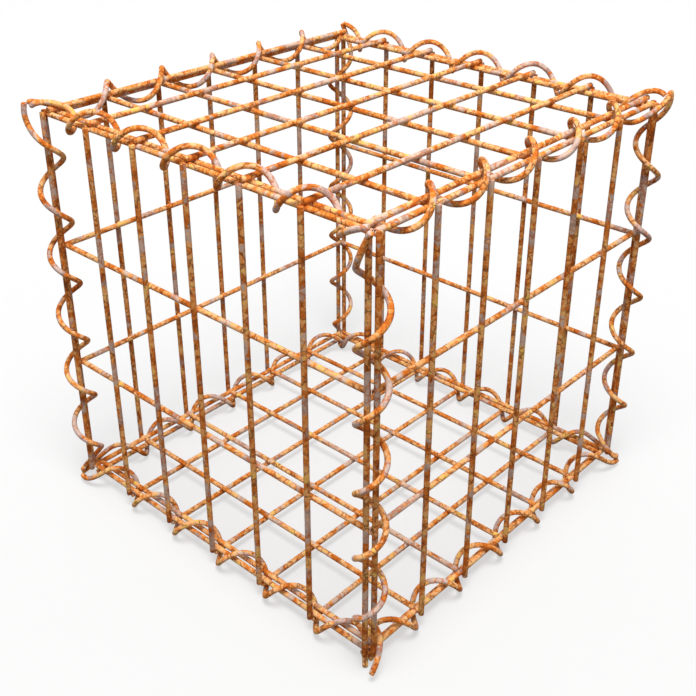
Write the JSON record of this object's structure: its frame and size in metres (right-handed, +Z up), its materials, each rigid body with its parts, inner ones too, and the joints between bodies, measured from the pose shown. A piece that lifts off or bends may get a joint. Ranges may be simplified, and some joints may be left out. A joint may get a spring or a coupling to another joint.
{
  "type": "gabion basket",
  "caption": "Small cube-shaped cage of welded rusty wire mesh with its lid and walls laced together by spiral wires, to be filled with stones.",
  "frame": {"origin": "on the ground under the middle of the basket", "axes": "+Z up, X along the front wall, Y from the front wall to the back wall"},
  "size_m": [0.3276, 0.3304, 0.327],
  "materials": {
    "mesh_wire": "rusted, matt, patches of orange, yellow and grey",
    "upright_wire": "rusted, matt, darker brown with grey bands",
    "spiral_wire": "rusted, matt, patches of orange, pink and grey"
  },
  "bodies": {
    "root": {"front_wall_uprights": "upright_wire", "front_wall_crossbars": "mesh_wire", "back_wall_uprights": "upright_wire", "back_wall_crossbars": "mesh_wire", "left_wall_uprights": "upright_wire", "left_wall_crossbars": "mesh_wire", "right_wall_uprights": "upright_wire", "right_wall_crossbars": "mesh_wire", "lid_long_wires": "mesh_wire", "lid_cross_wires": "mesh_wire", "base_long_wires": "mesh_wire", "base_cross_wires": "mesh_wire", "top_front_spiral": "spiral_wire", "top_back_spiral": "spiral_wire", "top_left_spiral": "spiral_wire", "top_right_spiral": "spiral_wire", "base_front_spiral": "spiral_wire", "base_back_spiral": "spiral_wire", "base_left_spiral": "spiral_wire", "base_right_spiral": "spiral_wire", "front_right_corner_spiral": "spiral_wire", "front_left_corner_spiral": "spiral_wire", "back_right_corner_spiral": "spiral_wire", "back_left_corner_spiral": "spiral_wire"}
  },
  "joints": []
}
